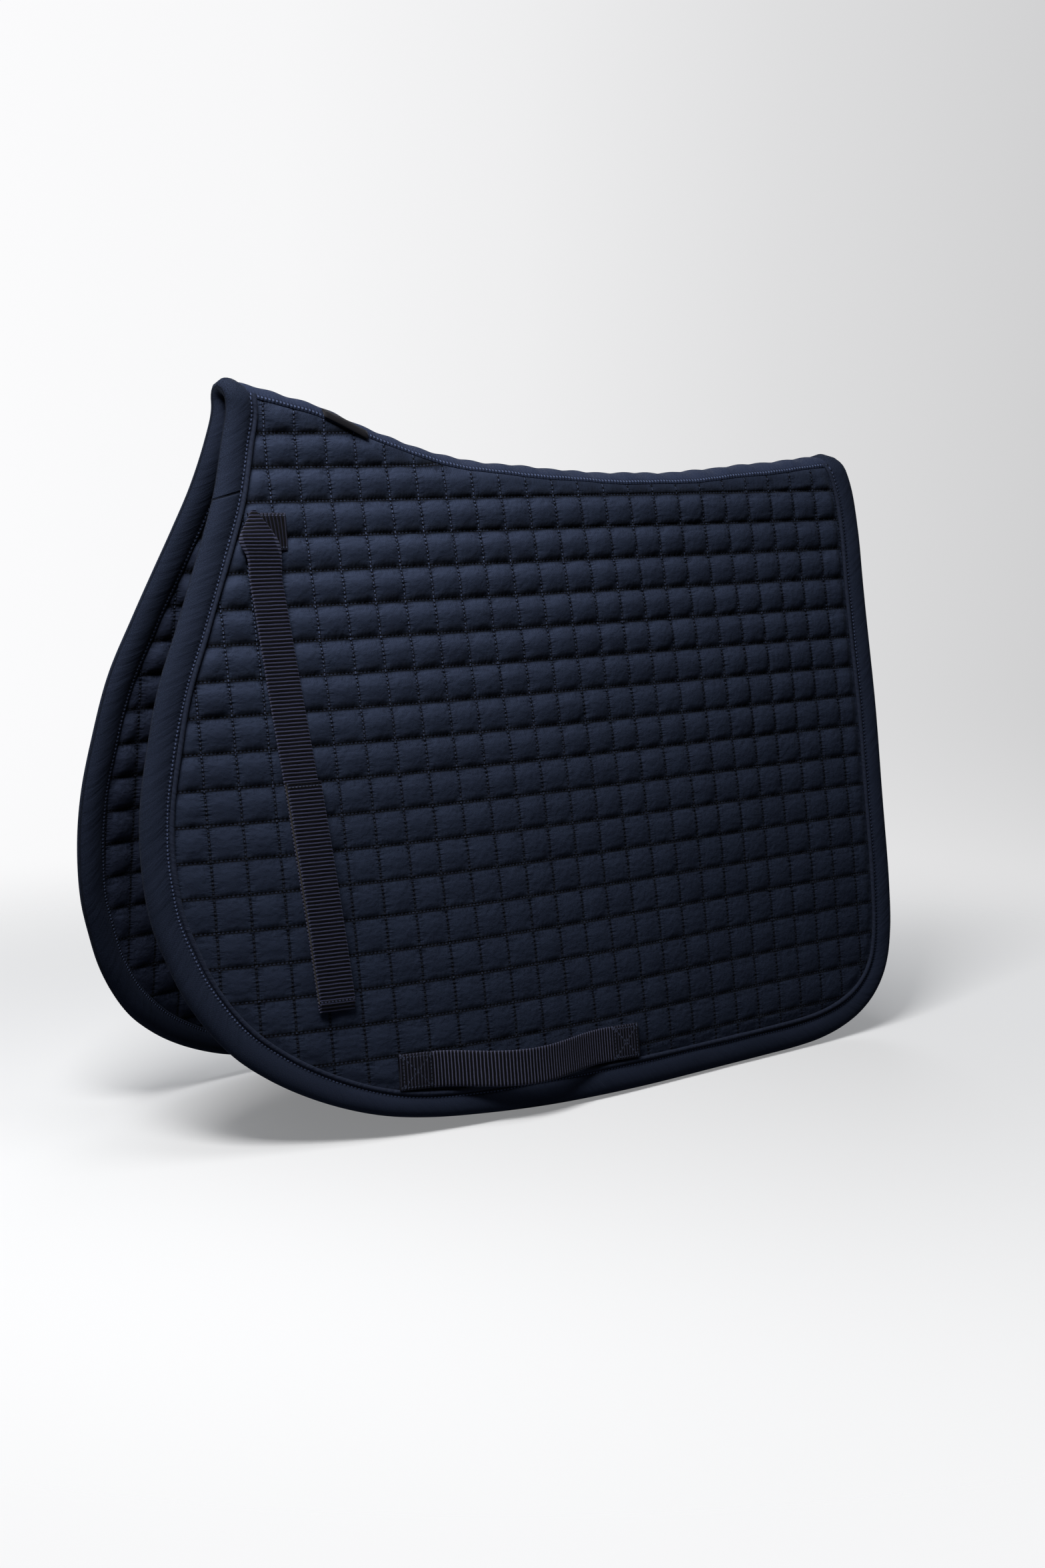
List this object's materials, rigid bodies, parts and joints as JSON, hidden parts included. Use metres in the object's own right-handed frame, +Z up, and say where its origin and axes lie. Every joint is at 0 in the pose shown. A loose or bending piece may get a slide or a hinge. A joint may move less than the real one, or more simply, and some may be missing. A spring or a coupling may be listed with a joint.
{
  "type": "saddle pad",
  "caption": "Quilted navy saddle pad with raised withers, bound edges, webbing billet straps with hook-and-loop tabs and girth keeper loops.",
  "frame": {"origin": "on the ground under the middle of the pad as it stands on the lower edges of its two flaps", "axes": "+Z up; +X from the front (withers peak) to the rear along the spine; +Y from the left flap to the right flap"},
  "size_m": [0.695, 0.2688, 0.5375],
  "materials": {
    "cotton_twill": "matt navy cotton twill, quilted in 25 mm squares",
    "cotton_lining": "matt navy cotton lining, quilted through",
    "batting": "white polyester batting, hidden",
    "binding_tape": "smooth navy twill binding",
    "piping": "navy twill over a cord",
    "webbing": "dark ribbed polyester webbing",
    "loop_tape": "black napped loop tape",
    "hook_tape": "black nylon hook tape",
    "label_rubber": "thin dark rubber, blank"
  },
  "bodies": {
    "spine": {"spine_tape_outer": "binding_tape", "spine_tape_inner": "binding_tape", "spine_label": "label_rubber", "left_ridge_shell": "cotton_twill", "left_ridge_padding": "batting", "left_ridge_lining": "cotton_lining", "right_ridge_shell": "cotton_twill", "right_ridge_padding": "batting", "right_ridge_lining": "cotton_lining", "front_ridge_binding": "binding_tape", "rear_ridge_binding": "binding_tape", "left_ridge_piping": "piping", "right_ridge_piping": "piping"},
    "left_flap": {"left_outer_shell": "cotton_twill", "left_padding": "batting", "left_lining": "cotton_lining", "left_binding": "binding_tape", "left_piping": "piping", "left_girth_keeper": "webbing", "left_strap_anchor": "webbing"},
    "left_strap": {"left_billet_strap": "webbing", "left_loop_tape": "loop_tape"},
    "left_tab": {"left_tab_webbing": "webbing", "left_hook_tape": "hook_tape"},
    "right_flap": {"right_outer_shell": "cotton_twill", "right_padding": "batting", "right_lining": "cotton_lining", "right_binding": "binding_tape", "right_piping": "piping", "right_girth_keeper": "webbing", "right_strap_anchor": "webbing"},
    "right_strap": {"right_billet_strap": "webbing", "right_loop_tape": "loop_tape"},
    "right_tab": {"right_tab_webbing": "webbing", "right_hook_tape": "hook_tape"}
  },
  "joints": [
    {"name": "left_flap_fold", "type": "hinge", "parent": "spine", "child": "left_flap", "pos_m": [0, -0.0207, 0.446], "axis": [-1, 0, 0], "range_deg": [-7, 70]},
    {"name": "left_strap_swing", "type": "hinge", "parent": "left_flap", "child": "left_strap", "pos_m": [-0.2412, -0.0352, 0.4149], "axis": [-0.9993, 0.0363, 0], "range_deg": [0, 70]},
    {"name": "left_tab_peel", "type": "hinge", "parent": "left_strap", "child": "left_tab", "pos_m": [-0.2229, -0.0967, 0.0987], "axis": [0.9863, -0.1649, 0], "range_deg": [0, 90]},
    {"name": "right_flap_fold", "type": "hinge", "parent": "spine", "child": "right_flap", "pos_m": [0, 0.0207, 0.446], "axis": [1, 0, 0], "range_deg": [-7, 70]},
    {"name": "right_strap_swing", "type": "hinge", "parent": "right_flap", "child": "right_strap", "pos_m": [-0.2412, 0.0352, 0.4149], "axis": [0.9993, 0.0363, 0], "range_deg": [0, 70]},
    {"name": "right_tab_peel", "type": "hinge", "parent": "right_strap", "child": "right_tab", "pos_m": [-0.2229, 0.0967, 0.0987], "axis": [-0.9863, -0.1649, 0], "range_deg": [0, 90]}
  ]
}
